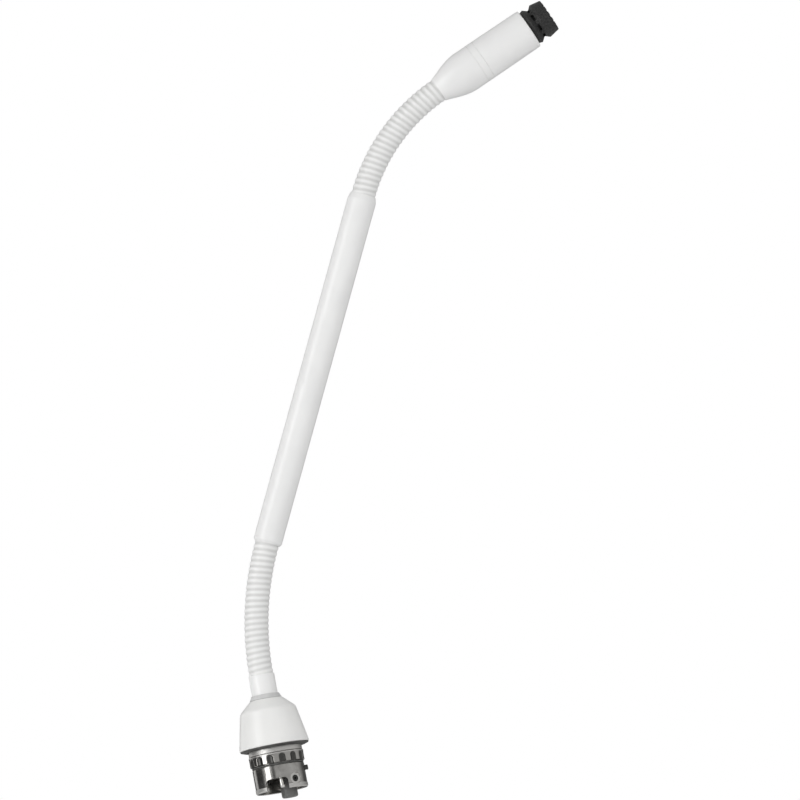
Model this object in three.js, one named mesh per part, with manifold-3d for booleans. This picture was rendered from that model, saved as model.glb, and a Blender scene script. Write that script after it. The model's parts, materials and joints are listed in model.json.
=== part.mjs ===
// Gooseneck podium microphone: a quick-lock plug under a bell-shaped cover, a neck made of two
// flexible lengths with a rigid tube between them, and a slim condenser head.
//
// Millimetres, +Z up. The origin is the centre of the shoulder plane, where the bell cover ends and
// the plug begins. The plug points down -Z. The neck bends in the XZ plane, leaning towards +X.
import * as THREE from 'three';
import { mergeVertices } from 'three/addons/utils/BufferGeometryUtils.js';
import Module from 'manifold-3d';

// ---- Driving dimensions ----

const SIDES = 28; // round pieces that are wider than the neck
const FINE_SIDES = 16; // small round pieces
const NECK_SIDES = 12; // neck links
const FIT = 0.1; // radial gap between round pieces that sit in one another
const REST = 0.05; // gap between flat faces that rest on one another

// Neck
const TURN_PITCH = 1.69;
const TURNS_PER_LINK = 2;
const LINKS = 11; // moving links in each flexible length
const LINK_GAP = 0.85; // between the roots of two neighbouring links
const RIB_RADIUS = 3.6;
const RIB_FLAT = 0.3; // width of a rib's crown
const ROOT_RADIUS = 3.0;
const LINK_BORE = 2.2;
const FLEX_LENGTH = (TURNS_PER_LINK * LINKS + 1) * TURN_PITCH; // half a turn is fixed at each end
const LOWER_BEND = THREE.MathUtils.degToRad(25.7);
const UPPER_BEND = THREE.MathUtils.degToRad(40.4);
const TUBE_LENGTH = 106.5;
const TUBE_RADIUS = 4.25;
const TUBE_BORE = 3.2;
const FERRULE_BORE = 1.9;
const FERRULE_STUB = (TURN_PITCH - LINK_GAP) / 2; // the fixed half turn that shows past a sleeve
const FERRULE_DEPTH = 12; // how far a ferrule reaches into the rigid tube
const CABLE_RADIUS = 1.5;
const CABLE_END = 20; // how far the cable reaches into the head

// Foot: bell cover, collar and the fixings inside them
const BELL_RADIUS = 10.35;
const BELL_CORNER = { radius: 8.2, z: 10.7 };
const BELL_TOP = { radius: 4.8, z: 14.0 };
const BELL_CEILING = 10.8; // height of the flat that the washer and nut pull against
const BELL_SEAT = 12.0; // height of the step that the collar stands on
const COLLAR_RADIUS = 3.8;
const COLLAR_TOP = 21.5;
const GROMMET_TOP = 15.5;
const GROMMET_TIP = 4.15;
const BELL_BORE = 6.4;
const STEM_FOOT = 5.6;
const CABLE_FOOT = 2.6;
const WASHER = { radius: 5.9, thickness: 0.7 };
const NUT = { radius: 6.0, bottom: 7.3, top: 9.95 };
const CLAMP = { radius: 2.7, bottom: 3.2, top: 5.2 };

// Plug
const SHELL_RADIUS = 7.75;
const SHELL_BORE = 6.3;
const SHELL_END = -13.2;
const SPIGOT_RADIUS = 6.95; // carries the lock ring below the flange and the bell above it
const SPIGOT_TOP = 5.0;
const FLANGE = { radius: 7.9, top: -0.65, bottom: -2.1 };
const GASKET = { radius: 10.1, flat: 8.9, lip: 8.25, bottom: -0.7 }; // its lip stands round the flange
const LOCK_RING = { radius: 8.1, top: -2.2, bottom: -5.2, flutes: 14, depth: 0.5 };
const O_RING = { radius: 7.4, section: 0.26, z: -5.6 };
const SLEEVE_TOP = -6.0;
const LATCH_NOTCH = { width: 6.6, top: -9.8, angle: -8 }; // open at the end of the shell
const SET_SCREW = { radius: 0.9, face: 7.25, z: -10.6, angle: 37 };
const SPOT_FACE = { radius: 1.75, floor: 7.35 }; // milled flat round the set screw
const LOCATING_PIN = { radius: 0.75, z: -7.6, reach: 8.65 };
const INSERT_FACE = -9.0;
const INSERT_TOP = -1.5;
const KEY_POST = { radius: 2.4, x: 1.95, end: -15.5 };
const PIN_CIRCLE = 4.3;
const PIN_ANGLES = [85, 180, 275];
const PIN_RADIUS = 0.8;
const PIN_END = -12.6;
const PIN_TAIL = 1.2;

// Head, measured along its own axis from where the upper flexible length ends
const HEAD_RADIUS = 6.25;
const HEAD_FRONT_RADIUS = 6.15;
const TAIL_START_RADIUS = 3.7;
const TAIL_CURVE = 9.9; // length of the swelling part of the tail
const TAIL_END = 13.55;
const RING_SPAN = [13.75, 15.65];
const HOUSING_START = 15.85;
const HEAD_LENGTH = 32.1;
const CAP_FLANGE = 5.2;
const CAP_RIM = 5.55;
const CAP_NECK = 4.4;
const CAP_FRONT = 5.0;
const CAP_LENGTH = 7.2;
const CAP_BORE = 3.7;
const CAP_RIMS = [1.2, 3.9]; // distance of the two rims from the housing's end
const CAP_WAIST = 2.6; // and of the middle of the neck between them
const CAP_PLUG = { radius: 5.4, start: 30.9, end: 31.8 }; // the part inside the housing
const CAP_RECESS = { radius: 4.3, depth: 1.3 };
const SLOTS = { count: 8, width: 2.1, height: 0.8, phase: 25.6 };
const NOTCHES = { count: 16, width: 0.8, depth: 0.15 };
const GRILLE = { radius: 4.2, thickness: 0.4, hole: 0.5, rings: [[6, 1.5], [10, 3.0]] };

// Inside the head
const HEAD_BORE = 5.1;
const TAIL_BORE = 4.6; // takes the neck's ferrule
const TAIL_STEPS = 7;
const FERRULE_SEAT = 6.6;
const COUPLER = { radius: 5.0, bore: 3.6, start: 9.8, end: 19.6 };
const CAPSULE_BORE = { radius: 5.5, start: 20 };
const BOARD = { radius: 4.8, start: 20.3, end: 21.5 };
const BOOT = { radius: 5.4, room: 4.9, bore: 3.5, start: 24.4, floor: 25.0, end: 30.8 };
const CAPSULE = { radius: 4.8, start: 25.1, end: 30.5 };
const FOAM = { start: 31.2, end: 37.9 };

// ---- Materials ----

const finish = (color, roughness, metalness = 0) =>
  new THREE.MeshStandardMaterial({ color, roughness, metalness });
const whitePaint = finish(0xf2f2f0, 0.35);
const whitePlastic = finish(0xf0f0ee, 0.3);
const greyRubber = finish(0xb5b5b5, 0.6);
const blackRubber = finish(0x2c2c2b, 0.7);
const blackPlastic = finish(0x2a2a29, 0.55);
const greyPlastic = finish(0x6b6b67, 0.5);
const nickel = finish(0xb4b2ac, 0.22, 1);
const darkSteel = finish(0x4a4a48, 0.4, 1);
const silver = finish(0xd9d8d4, 0.25, 1);
const brass = finish(0xc2a25a, 0.35, 1);
const cableSheath = finish(0x303030, 0.6);
const boardGreen = finish(0x2e5a3c, 0.6);
const foamGrey = finish(0x3a3a3a, 0.95);

// ---- Shapes ----

const wasm = await Module();
wasm.setup();

// A solid of revolution about Z. The outline's [radius, z] points run up the outside.
function revolve(outline, sides = SIDES) {
  const points = outline.map(([radius, z]) => new THREE.Vector2(radius, z));
  points.push(points[0].clone());
  return new THREE.LatheGeometry(points, sides).rotateX(Math.PI / 2);
}

// A plain ring about Z from one height to another.
function ring(outer, inner, bottom, top, sides = SIDES) {
  return revolve([[inner, bottom], [outer, bottom], [outer, top], [inner, top]], sides);
}

// A solid rod along Z, with both ends chamfered.
function rod(radius, bottom, top, chamfer, sides = FINE_SIDES) {
  const points = [
    [0, bottom], [radius - chamfer, bottom], [radius, bottom + chamfer],
    [radius, top - chamfer], [radius - chamfer, top], [0, top],
  ];
  const outline = points.map(([r, z]) => new THREE.Vector2(r, z));
  return new THREE.LatheGeometry(outline, sides).rotateX(Math.PI / 2);
}

// Turns a shape that points along +Z to point out from the Z axis. The angle runs from -Y towards +X.
function radial(geometry, angle, z) {
  const turn = THREE.MathUtils.degToRad(angle);
  return geometry.rotateX(Math.PI / 2).rotateZ(turn).translate(0, 0, z);
}

function toSolid(geometry) {
  const bare = geometry.clone();
  bare.deleteAttribute('normal');
  bare.deleteAttribute('uv');
  const merged = mergeVertices(bare, 1e-4);
  const corners = merged.index.array;
  const faces = [];
  for (let i = 0; i < corners.length; i += 3) {
    const [a, b, c] = [corners[i], corners[i + 1], corners[i + 2]];
    if (a !== b && b !== c && c !== a) faces.push(a, b, c);
  }
  return new wasm.Manifold(new wasm.Mesh({
    numProp: 3,
    vertProperties: new Float32Array(merged.attributes.position.array),
    triVerts: new Uint32Array(faces),
  }));
}

function toGeometry(solid) {
  const mesh = solid.getMesh();
  const geometry = new THREE.BufferGeometry();
  geometry.setAttribute('position', new THREE.BufferAttribute(mesh.vertProperties, 3));
  geometry.setIndex(new THREE.BufferAttribute(mesh.triVerts, 1));
  geometry.computeVertexNormals();
  return geometry;
}

// The base with every tool cut away.
function cut(base, tools) {
  let solid = toSolid(base);
  for (const tool of tools) solid = solid.subtract(toSolid(tool));
  return toGeometry(solid);
}

// A flat shape raised along Z from one height to another.
function raise(shape, bottom, top) {
  const settings = { depth: top - bottom, bevelEnabled: false, curveSegments: 8 };
  return new THREE.ExtrudeGeometry(shape, settings).translate(0, 0, bottom);
}

// A closed shape through points given by [radius, angle in radians].
function polarShape(points) {
  return new THREE.Shape(points.map(([r, a]) => new THREE.Vector2(r * Math.cos(a), r * Math.sin(a))));
}

function circle(radius, sides, x = 0, y = 0) {
  const points = [];
  for (let i = 0; i < sides; i += 1) {
    const angle = (2 * Math.PI * i) / sides;
    points.push(new THREE.Vector2(x + radius * Math.cos(angle), y + radius * Math.sin(angle)));
  }
  return new THREE.Path(points);
}

// A round rod along a smooth curve through the points.
function sweep(points, radius, sides, steps) {
  const section = new THREE.Shape(circle(radius, sides).getPoints());
  const extrudePath = new THREE.CatmullRomCurve3(points);
  return new THREE.ExtrudeGeometry(section, { steps, extrudePath, bevelEnabled: false });
}

// ---- Assembly helpers ----

const microphone = new THREE.Group();

function add(parent, name, geometry, material) {
  const mesh = new THREE.Mesh(geometry, material);
  mesh.name = name;
  parent.add(mesh);
}

// A place on the neck's centreline: its point in the XZ plane and its tilt from +Z towards +X.
function advance(from, length, bend) {
  const tilt = from.tilt + bend;
  if (bend === 0) {
    return { x: from.x + length * Math.sin(tilt), z: from.z + length * Math.cos(tilt), tilt };
  }
  const radius = length / bend;
  return {
    x: from.x + radius * (Math.cos(from.tilt) - Math.cos(tilt)),
    z: from.z + radius * (Math.sin(tilt) - Math.sin(from.tilt)),
    tilt,
  };
}

// A group at a place on the centreline, with its own +Z along the neck.
function groupAt(place) {
  const group = new THREE.Group();
  group.position.set(place.x, 0, place.z);
  group.rotation.y = place.tilt;
  microphone.add(group);
  return group;
}

const lowerFlexStart = { x: 0, z: COLLAR_TOP, tilt: 0 };
const tubeStart = advance(lowerFlexStart, FLEX_LENGTH, LOWER_BEND);
const tubeEnd = advance(tubeStart, TUBE_LENGTH, 0);
const headStart = advance(tubeEnd, FLEX_LENGTH, UPPER_BEND);

// ---- Plug ----

function plugShell() {
  const body = revolve([
    [SHELL_BORE, SHELL_END], [SHELL_RADIUS - 0.4, SHELL_END], [SHELL_RADIUS, SHELL_END + 0.4],
    [SHELL_RADIUS, SLEEVE_TOP], [SPIGOT_RADIUS, SLEEVE_TOP], [SPIGOT_RADIUS, FLANGE.bottom],
    [FLANGE.radius, FLANGE.bottom], [FLANGE.radius, FLANGE.top], [SPIGOT_RADIUS, FLANGE.top],
    [SPIGOT_RADIUS, SPIGOT_TOP], [SHELL_BORE, SPIGOT_TOP],
  ]);
  const reach = 2 * SHELL_RADIUS;
  const height = LATCH_NOTCH.top - SHELL_END + 1;
  const notch = new THREE.BoxGeometry(LATCH_NOTCH.width, height, reach).translate(0, 0, reach / 2);
  const screwHole = rod(SET_SCREW.radius + 2 * FIT, 1, reach, 0);
  const spotFace = rod(SPOT_FACE.radius, SPOT_FACE.floor, reach, 0);
  const pinHole = rod(LOCATING_PIN.radius + 2 * FIT, 1, reach, 0);
  return cut(body, [
    radial(notch, LATCH_NOTCH.angle, LATCH_NOTCH.top - height / 2),
    radial(screwHole, SET_SCREW.angle, SET_SCREW.z),
    radial(spotFace, SET_SCREW.angle, SET_SCREW.z),
    radial(pinHole, 90, LOCATING_PIN.z),
  ]);
}

function lockRing() {
  const points = [];
  const period = (2 * Math.PI) / LOCK_RING.flutes;
  const first = -Math.PI / 2; // a ridge faces -Y
  for (let i = 0; i < LOCK_RING.flutes; i += 1) {
    const ridge = first + i * period;
    points.push([LOCK_RING.radius, ridge - 0.25 * period], [LOCK_RING.radius, ridge + 0.25 * period]);
    points.push([LOCK_RING.radius - LOCK_RING.depth, ridge + 0.36 * period]);
    points.push([LOCK_RING.radius - LOCK_RING.depth, ridge + 0.64 * period]);
  }
  const outline = polarShape(points);
  outline.holes.push(circle(SPIGOT_RADIUS + 2 * FIT, SIDES));
  return raise(outline, LOCK_RING.bottom, LOCK_RING.top);
}

function oRing() {
  const { radius, section, z } = O_RING;
  const outline = [];
  for (let i = 0; i < 8; i += 1) {
    const angle = ((i + 0.5) * Math.PI) / 4;
    outline.push([radius + section * Math.cos(angle), z + section * Math.sin(angle)]);
  }
  return revolve(outline);
}

const pinPlaces = PIN_ANGLES.map((angle) => {
  const turn = THREE.MathUtils.degToRad(angle);
  return { x: PIN_CIRCLE * Math.cos(turn), y: PIN_CIRCLE * Math.sin(turn) };
});

function contactInsert() {
  const disc = rod(SHELL_BORE - FIT, INSERT_FACE, INSERT_TOP, 0.2, SIDES);
  const post = rod(KEY_POST.radius, KEY_POST.end, INSERT_TOP - 1, 0.5);
  post.translate(KEY_POST.x, 0, 0);
  let solid = toSolid(disc).add(toSolid(post));
  for (const { x, y } of pinPlaces) {
    const hole = rod(PIN_RADIUS + 2 * FIT, INSERT_FACE - 5, INSERT_TOP + 5, 0, 12);
    solid = solid.subtract(toSolid(hole.translate(x, y, 0)));
  }
  return toGeometry(solid);
}

function contactPin({ x, y }) {
  const tail = PIN_RADIUS - 0.3;
  const outline = [
    [0, PIN_END], [PIN_RADIUS - 0.35, PIN_END], [PIN_RADIUS, PIN_END + 0.5],
    [PIN_RADIUS, -0.5], [tail, -0.5], [tail, PIN_TAIL], [0, PIN_TAIL],
  ];
  const points = outline.map(([r, z]) => new THREE.Vector2(r, z));
  return new THREE.LatheGeometry(points, 12).rotateX(Math.PI / 2).translate(x, y, 0);
}

// A conductor from the cable's cut end to a pin's tail.
function conductor({ x, y }) {
  const points = [
    new THREE.Vector3(0.2 * x, 0.2 * y, CABLE_FOOT - 0.3),
    new THREE.Vector3(0.35 * x, 0.35 * y, CABLE_FOOT - 0.6),
    new THREE.Vector3(0.8 * x, 0.8 * y, PIN_TAIL + 0.75),
    new THREE.Vector3(x, y, PIN_TAIL + 0.15),
  ];
  return sweep(points, 0.35, 6, 6);
}

add(microphone, 'plug_shell', plugShell(), nickel);
add(microphone, 'shoulder_gasket', revolve([
  [SPIGOT_RADIUS + FIT, FLANGE.top + REST], [GASKET.lip, FLANGE.top + REST],
  [GASKET.lip, GASKET.bottom], [GASKET.flat, GASKET.bottom], [GASKET.radius, -6 * REST],
  [GASKET.radius, -REST], [SPIGOT_RADIUS + FIT, -REST],
]), blackRubber);
add(microphone, 'lock_ring', lockRing(), nickel);
add(microphone, 'plug_o_ring', oRing(), blackRubber);
const pinRod = rod(LOCATING_PIN.radius, SHELL_BORE + 0.2, LOCATING_PIN.reach, 0.2);
add(microphone, 'locating_pin', radial(pinRod, 90, LOCATING_PIN.z), darkSteel);
const screwRod = rod(SET_SCREW.radius, SHELL_BORE + 0.2, SET_SCREW.face, 0.15);
add(microphone, 'set_screw', radial(screwRod, SET_SCREW.angle, SET_SCREW.z), darkSteel);
add(microphone, 'contact_insert', contactInsert(), greyPlastic);
pinPlaces.forEach((place, i) => {
  add(microphone, `contact_pin_${i + 1}`, contactPin(place), silver);
  add(microphone, `conductor_${i + 1}`, conductor(place), cableSheath);
});

// ---- Foot of the neck ----

add(microphone, 'bell_cover', revolve([
  [SPIGOT_RADIUS + FIT, 0], [BELL_RADIUS - 0.3, 0], [BELL_RADIUS, 0.35],
  [BELL_CORNER.radius + 0.12, BELL_CORNER.z - 0.5], [BELL_CORNER.radius - 0.35, BELL_CORNER.z + 0.35],
  [BELL_TOP.radius, BELL_TOP.z], [BELL_TOP.radius - 0.3, BELL_TOP.z],
  [BELL_TOP.radius - 0.3, BELL_SEAT], [ROOT_RADIUS + FIT, BELL_SEAT],
  [ROOT_RADIUS + FIT, BELL_CEILING], [BELL_BORE, BELL_CEILING], [BELL_BORE, SPIGOT_TOP + 0.2],
  [SPIGOT_RADIUS + FIT, SPIGOT_TOP + 0.2],
]), whitePlastic);
add(microphone, 'neck_grommet', revolve([
  [COLLAR_RADIUS + FIT, BELL_SEAT + REST], [BELL_TOP.radius - 0.4, BELL_SEAT + REST],
  [BELL_TOP.radius - 0.4, BELL_TOP.z + REST], [BELL_TOP.radius, BELL_TOP.z + REST],
  [GROMMET_TIP, GROMMET_TOP], [COLLAR_RADIUS + FIT, GROMMET_TOP],
]), greyRubber);
add(microphone, 'lower_collar', revolve([
  [ROOT_RADIUS + FIT, BELL_SEAT + REST], [COLLAR_RADIUS, BELL_SEAT + REST],
  [COLLAR_RADIUS, COLLAR_TOP - 0.5], [COLLAR_RADIUS - 0.4, COLLAR_TOP],
  [ROOT_RADIUS + FIT, COLLAR_TOP],
]), whitePaint);
add(microphone, 'anchor_stem',
  ring(ROOT_RADIUS, FERRULE_BORE, STEM_FOOT, COLLAR_TOP + FERRULE_STUB, FINE_SIDES), darkSteel);
const washerTop = BELL_CEILING - REST;
add(microphone, 'anchor_washer',
  ring(WASHER.radius, ROOT_RADIUS + FIT, washerTop - WASHER.thickness, washerTop), nickel);
const nut = polarShape([0, 1, 2, 3, 4, 5].map((i) => [NUT.radius, (i * Math.PI) / 3]));
nut.holes.push(circle(ROOT_RADIUS + FIT, FINE_SIDES));
add(microphone, 'anchor_nut', raise(nut, NUT.bottom, NUT.top), nickel);
add(microphone, 'cable_clamp',
  ring(CLAMP.radius, CABLE_RADIUS + FIT, CLAMP.bottom, CLAMP.top, FINE_SIDES), brass);

// ---- Neck ----

// A closed run of whole turns: ribs with flat crowns and V-shaped roots between them.
function neckTurns() {
  const half = (TURNS_PER_LINK * TURN_PITCH) / 2;
  const end = half - LINK_GAP / 2;
  const outline = [[LINK_BORE, -end], [ROOT_RADIUS, -end]];
  for (let turn = 0; turn < TURNS_PER_LINK; turn += 1) {
    const crown = -half + (turn + 0.5) * TURN_PITCH;
    if (turn > 0) outline.push([ROOT_RADIUS, crown - TURN_PITCH / 2]);
    outline.push([RIB_RADIUS, crown - RIB_FLAT / 2], [RIB_RADIUS, crown + RIB_FLAT / 2]);
  }
  outline.push([ROOT_RADIUS, end], [LINK_BORE, end]);
  return revolve(outline, NECK_SIDES);
}

function flexibleLength(name, start, bend) {
  for (let i = 0; i < LINKS; i += 1) {
    const share = ((i + 0.5) * TURNS_PER_LINK + 0.5) * (TURN_PITCH / FLEX_LENGTH);
    const place = advance(start, FLEX_LENGTH * share, bend * share);
    add(groupAt(place), `${name}_turns_${i + 1}`, neckTurns(), whitePaint);
  }
}

flexibleLength('lower', lowerFlexStart, LOWER_BEND);
flexibleLength('upper', tubeEnd, UPPER_BEND);

const tube = groupAt(tubeStart);
add(tube, 'stem_tube', revolve([
  [TUBE_BORE, 0], [TUBE_RADIUS - 0.6, 0], [TUBE_RADIUS, 0.9],
  [TUBE_RADIUS, TUBE_LENGTH - 1.7], [TUBE_RADIUS - 0.5, TUBE_LENGTH], [TUBE_BORE, TUBE_LENGTH],
]), whitePaint);
add(tube, 'stem_lower_ferrule',
  ring(TUBE_BORE - FIT, FERRULE_BORE, -FERRULE_STUB, FERRULE_DEPTH, FINE_SIDES), darkSteel);
add(tube, 'stem_upper_ferrule', ring(
  TUBE_BORE - FIT, FERRULE_BORE, TUBE_LENGTH - FERRULE_DEPTH, TUBE_LENGTH + FERRULE_STUB, FINE_SIDES,
), darkSteel);

// ---- Head ----

const head = groupAt(headStart);
const tailRadius = (w) => {
  const swell = Math.sin((Math.PI / 2) * (w / TAIL_CURVE)) ** 1.12;
  return TAIL_START_RADIUS + (HEAD_RADIUS - TAIL_START_RADIUS) * swell;
};
const tailCurve = Array.from({ length: TAIL_STEPS + 1 }, (_, i) => {
  const w = (TAIL_CURVE * i) / TAIL_STEPS;
  return [tailRadius(w), w];
});
add(head, 'head_tail', revolve([
  [ROOT_RADIUS + FIT, 0], ...tailCurve, [HEAD_RADIUS, TAIL_END], [HEAD_BORE, TAIL_END],
  [HEAD_BORE, COUPLER.start - 0.2], [TAIL_BORE, COUPLER.start - 0.2],
  [TAIL_BORE, FERRULE_SEAT], [ROOT_RADIUS + FIT, FERRULE_SEAT],
]), whitePaint);
add(head, 'head_ferrule',
  ring(ROOT_RADIUS, FERRULE_BORE, -FERRULE_STUB, FERRULE_SEAT - 0.2, FINE_SIDES), darkSteel);
add(head, 'thread_coupler', ring(COUPLER.radius, COUPLER.bore, COUPLER.start, COUPLER.end), brass);
add(head, 'joint_ring', ring(HEAD_RADIUS - REST, HEAD_BORE, ...RING_SPAN), whitePaint);
add(head, 'capsule_housing', revolve([
  [HEAD_BORE, HOUSING_START], [HEAD_RADIUS, HOUSING_START], [HEAD_FRONT_RADIUS, HEAD_LENGTH - 0.6],
  [HEAD_FRONT_RADIUS - 0.5, HEAD_LENGTH], [CAPSULE_BORE.radius, HEAD_LENGTH],
  [CAPSULE_BORE.radius, CAPSULE_BORE.start], [HEAD_BORE, CAPSULE_BORE.start],
]), whitePaint);
add(head, 'capsule_board', rod(BOARD.radius, BOARD.start, BOARD.end, 0.1, FINE_SIDES), boardGreen);
add(head, 'capsule_boot', revolve([
  [BOOT.bore, BOOT.start], [BOOT.radius, BOOT.start], [BOOT.radius, BOOT.end],
  [BOOT.room, BOOT.end], [BOOT.room, BOOT.floor], [BOOT.bore, BOOT.floor],
]), blackRubber);
add(head, 'capsule', rod(CAPSULE.radius, CAPSULE.start, CAPSULE.end, 0.3), nickel);

// Black cap: a flange, a V-shaped neck with rear slots, and a rim with small notches.
function capsuleCap() {
  const foot = HEAD_LENGTH + REST;
  const front = HEAD_LENGTH + CAP_LENGTH;
  const waist = HEAD_LENGTH + CAP_WAIST;
  const body = revolve([
    [CAP_BORE, CAP_PLUG.start], [CAP_PLUG.radius, CAP_PLUG.start], [CAP_PLUG.radius, CAP_PLUG.end],
    [CAP_FLANGE - 0.1, CAP_PLUG.end], [CAP_FLANGE - 0.1, foot], [CAP_FLANGE, foot],
    [CAP_RIM, HEAD_LENGTH + CAP_RIMS[0]], [CAP_NECK, waist - 0.3], [CAP_NECK, waist + 0.3],
    [CAP_RIM, HEAD_LENGTH + CAP_RIMS[1]], [CAP_FRONT, front], [CAP_RECESS.radius, front],
    [CAP_RECESS.radius, front - CAP_RECESS.depth], [CAP_BORE, front - CAP_RECESS.depth],
  ]);
  const tools = [];
  for (let i = 0; i < SLOTS.count; i += 1) {
    const slot = new THREE.BoxGeometry(SLOTS.width, SLOTS.height, CAP_RIM);
    slot.translate(0, 0, CAP_RIM);
    tools.push(radial(slot, SLOTS.phase + (360 * i) / SLOTS.count, waist));
  }
  for (let i = 0; i < NOTCHES.count; i += 1) {
    const notch = new THREE.BoxGeometry(NOTCHES.width, 2 * NOTCHES.depth, CAP_NECK);
    notch.translate(0, 0, CAP_RIM);
    tools.push(radial(notch, (360 * (i + 0.5)) / NOTCHES.count, front));
  }
  return cut(body, tools);
}

add(head, 'capsule_cap', capsuleCap(), blackPlastic);
add(head, 'foam_disc', rod(CAP_BORE - FIT, FOAM.start, FOAM.end, 0.2, FINE_SIDES), foamGrey);

function frontGrille() {
  const plate = new THREE.Shape(circle(GRILLE.radius, FINE_SIDES).getPoints());
  plate.holes.push(circle(GRILLE.hole, 6));
  for (const [count, radius] of GRILLE.rings) {
    for (let i = 0; i < count; i += 1) {
      const angle = (2 * Math.PI * i) / count;
      plate.holes.push(circle(GRILLE.hole, 6, radius * Math.cos(angle), radius * Math.sin(angle)));
    }
  }
  const back = FOAM.end + 0.15;
  return raise(plate, back, back + GRILLE.thickness);
}

add(head, 'front_grille', frontGrille(), blackPlastic);

// ---- Cable inside the neck ----

function cablePoints() {
  const places = [{ x: 0, z: CABLE_FOOT, tilt: 0 }, { x: 0, z: COLLAR_TOP / 2, tilt: 0 }];
  const steps = 6; // points along each bend
  for (const [start, bend] of [[lowerFlexStart, LOWER_BEND], [tubeEnd, UPPER_BEND]]) {
    for (let i = 0; i <= steps; i += 1) {
      places.push(advance(start, (FLEX_LENGTH * i) / steps, (bend * i) / steps));
    }
    if (start === lowerFlexStart) places.push(advance(tubeStart, TUBE_LENGTH / 2, 0));
  }
  places.push(advance(headStart, CABLE_END / 2, 0), advance(headStart, CABLE_END, 0));
  return places.map(({ x, z }) => new THREE.Vector3(x, 0, z));
}

add(microphone, 'signal_cable', sweep(cablePoints(), CABLE_RADIUS, 8, 52), cableSheath);

export default microphone;
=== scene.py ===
"""Looks of the white gooseneck podium microphone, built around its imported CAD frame.

Lengths are in millimetres, apart from the studio's, and become metres when a mesh is made. A turned
piece is drawn upright round its own axis, and its place on the neck's centreline puts it in the frame.
"""

import json
import math

import bpy
import numpy as np
from mathutils import Matrix, Vector


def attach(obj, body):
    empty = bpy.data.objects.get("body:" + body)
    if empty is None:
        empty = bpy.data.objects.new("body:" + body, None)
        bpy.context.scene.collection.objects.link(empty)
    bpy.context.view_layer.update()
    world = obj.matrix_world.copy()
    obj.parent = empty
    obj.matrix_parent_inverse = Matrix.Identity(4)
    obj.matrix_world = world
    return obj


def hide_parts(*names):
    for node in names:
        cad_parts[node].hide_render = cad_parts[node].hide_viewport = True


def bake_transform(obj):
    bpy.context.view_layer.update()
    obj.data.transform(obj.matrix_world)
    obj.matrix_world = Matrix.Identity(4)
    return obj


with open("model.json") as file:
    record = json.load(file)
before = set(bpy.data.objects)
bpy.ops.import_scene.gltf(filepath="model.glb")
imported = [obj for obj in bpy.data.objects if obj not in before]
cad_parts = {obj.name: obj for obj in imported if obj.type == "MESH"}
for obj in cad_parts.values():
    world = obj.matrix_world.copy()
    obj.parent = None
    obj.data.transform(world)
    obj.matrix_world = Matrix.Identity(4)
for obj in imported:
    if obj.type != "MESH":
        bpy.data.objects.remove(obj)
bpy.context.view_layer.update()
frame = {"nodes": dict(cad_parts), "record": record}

MM = 0.001

# ---- Driving dimensions, as in the CAD part ----

TURN_PITCH = 1.69
LINKS = 11
TURNS = 2 * LINKS + 1
FLEX_LENGTH = TURNS * TURN_PITCH
LOWER_BEND = math.radians(25.7)
UPPER_BEND = math.radians(40.4)
TUBE_LENGTH = 106.5
COLLAR_TOP = 21.5
HEAD_LENGTH = 32.1
CAP_LENGTH = 7.2

# ---- Places on the neck's centreline: x, z and tilt from +Z towards +X ----


def advance(place, length, bend):
    """The place reached from another along an arc of the given length and bend, or along a line."""
    x, z, tilt = place
    end = tilt + bend
    if bend == 0:
        return x + length * math.sin(tilt), z + length * math.cos(tilt), tilt
    radius = length / bend
    return (
        x + radius * (math.cos(tilt) - math.cos(end)),
        z + radius * (math.sin(end) - math.sin(tilt)),
        end,
    )


FOOT = (0, 0, 0)
LOWER_START = (0, COLLAR_TOP, 0)
TUBE_START = advance(LOWER_START, FLEX_LENGTH, LOWER_BEND)
TUBE_END = advance(TUBE_START, TUBE_LENGTH, 0)
HEAD_START = advance(TUBE_END, FLEX_LENGTH, UPPER_BEND)


def matrix_at(place):
    x, z, tilt = place
    return Matrix.Translation((x * MM, 0, z * MM)) @ Matrix.Rotation(tilt, 4, "Y")


# ---- Materials ----


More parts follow.
